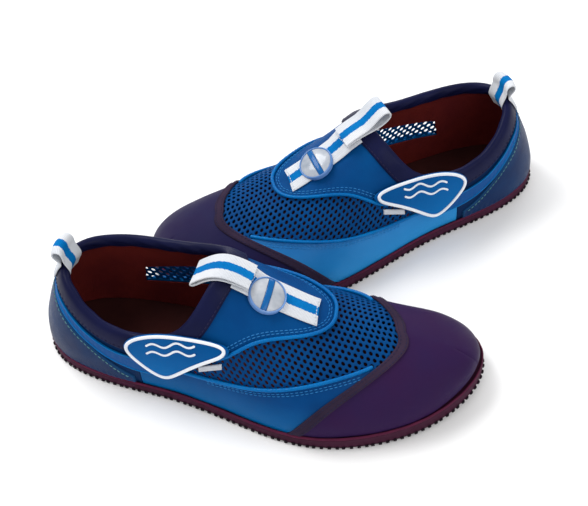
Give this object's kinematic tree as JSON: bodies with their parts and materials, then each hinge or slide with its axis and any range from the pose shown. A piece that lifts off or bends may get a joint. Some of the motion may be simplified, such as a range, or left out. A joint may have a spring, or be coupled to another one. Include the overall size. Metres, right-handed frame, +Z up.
{
  "type": "water shoes",
  "caption": "Pair of low slip-on water shoes with neoprene and mesh uppers, rubber soles, webbing pull loops and side strap badges.",
  "frame": {"origin": "on the ground, at the centre of the box round the pair as it stands", "axes": "+Z up, +X along the longest side of the pair: the right shoe points its toe to +X and the left shoe points its toe to -X"},
  "size_m": [0.3518, 0.266, 0.1095],
  "materials": {
    "outsole_rubber": "matt moulded rubber",
    "rand_rubber": "semi-matt moulded rubber",
    "footbed": "woven footbed cover",
    "heel_fabric": "smooth neoprene",
    "counter_film": "coated fabric, satin",
    "lining": "soft knit",
    "side_film": "coated fabric, satin",
    "mesh": "open hexagonal mesh",
    "instep_neoprene": "smooth neoprene",
    "toe_fabric": "smooth coated fabric",
    "toe_edge": "flocked band",
    "binding": "folded stretch tape, satin",
    "piping": "satin cord",
    "strap_film": "coated fabric, satin",
    "webbing": "striped woven tape",
    "hook_tape": "hook-and-loop tape",
    "emblem_ring": "moulded, glossy",
    "emblem_face": "silvery, glossy",
    "emblem_bar": "moulded, satin",
    "badge_face": "moulded soft plastic",
    "badge_trim": "moulded soft plastic"
  },
  "bodies": {
    "left_shoe": {"left_outsole": "outsole_rubber", "left_sole_rand": "rand_rubber", "left_insole": "footbed", "left_rear_quarter": "heel_fabric", "left_heel_counter": "counter_film", "left_heel_lining": "lining", "left_side_panel_outer": "side_film", "left_side_panel_inner": "side_film", "left_side_lining": "lining", "left_mesh_vent": "mesh", "left_instep_panel": "instep_neoprene", "left_instep_lining": "lining", "left_toe_cap": "toe_fabric", "left_toe_band": "toe_edge", "left_collar_binding": "binding", "left_instep_piping": "piping", "left_vent_piping": "piping", "left_side_strap": "strap_film", "left_instep_webbing": "webbing", "left_emblem_bezel": "emblem_ring", "left_emblem_dome": "emblem_face", "left_emblem_bar": "emblem_bar", "left_loop_patch": "hook_tape", "left_heel_tab": "webbing"},
    "left_front_loop": {"left_front_loop": "webbing"},
    "left_heel_loop": {"left_heel_loop": "webbing"},
    "left_badge": {"left_badge": "badge_face", "left_badge_border": "badge_trim", "left_badge_wave": "badge_trim"},
    "right_shoe": {"right_outsole": "outsole_rubber", "right_sole_rand": "rand_rubber", "right_insole": "footbed", "right_rear_quarter": "heel_fabric", "right_heel_counter": "counter_film", "right_heel_lining": "lining", "right_side_panel_outer": "side_film", "right_side_panel_inner": "side_film", "right_side_lining": "lining", "right_mesh_vent": "mesh", "right_instep_panel": "instep_neoprene", "right_instep_lining": "lining", "right_toe_cap": "toe_fabric", "right_toe_band": "toe_edge", "right_collar_binding": "binding", "right_instep_piping": "piping", "right_vent_piping": "piping", "right_side_strap": "strap_film", "right_instep_webbing": "webbing", "right_emblem_bezel": "emblem_ring", "right_emblem_dome": "emblem_face", "right_emblem_bar": "emblem_bar", "right_loop_patch": "hook_tape", "right_heel_tab": "webbing"},
    "right_front_loop": {"right_front_loop": "webbing"},
    "right_heel_loop": {"right_heel_loop": "webbing"},
    "right_badge": {"right_badge": "badge_face", "right_badge_border": "badge_trim", "right_badge_wave": "badge_trim"}
  },
  "joints": [
    {"name": "right_shoe_lift", "type": "slide", "parent": "left_shoe", "child": "right_shoe", "axis": [0, 0, 1], "range_m": [0, 0.15]},
    {"name": "left_front_loop_fold", "type": "hinge", "parent": "left_shoe", "child": "left_front_loop", "pos_m": [0.04434, 0.06374, 0.09308], "axis": [0.314, -0.9494, 0], "range_deg": [-26, 94], "stiffness_Nm_per_rad": 0.01},
    {"name": "left_heel_loop_fold", "type": "hinge", "parent": "left_shoe", "child": "left_heel_loop", "pos_m": [0.1521, 0.10308, 0.07984], "axis": [0.314, -0.9494, 0], "range_deg": [-60, 70], "stiffness_Nm_per_rad": 0.01},
    {"name": "left_badge_peel", "type": "hinge", "parent": "left_shoe", "child": "left_badge", "pos_m": [0.12616, 0.05389, 0.0378], "axis": [-0.1214, 0.0371, 0.9919], "range_deg": [0, 90]},
    {"name": "right_front_loop_fold", "type": "hinge", "parent": "right_shoe", "child": "right_front_loop", "pos_m": [-0.04474, -0.05813, 0.09308], "axis": [0.3223, 0.9466, 0], "range_deg": [0, 120], "stiffness_Nm_per_rad": 0.01},
    {"name": "right_heel_loop_fold", "type": "hinge", "parent": "right_shoe", "child": "right_heel_loop", "pos_m": [-0.15215, -0.01785, 0.07984], "axis": [0.3223, 0.9466, 0], "range_deg": [-60, 70], "stiffness_Nm_per_rad": 0.01},
    {"name": "right_badge_peel", "type": "hinge", "parent": "right_shoe", "child": "right_badge", "pos_m": [-0.12664, -0.06726, 0.0378], "axis": [-0.1217, -0.036, -0.9919], "range_deg": [0, 90]}
  ]
}
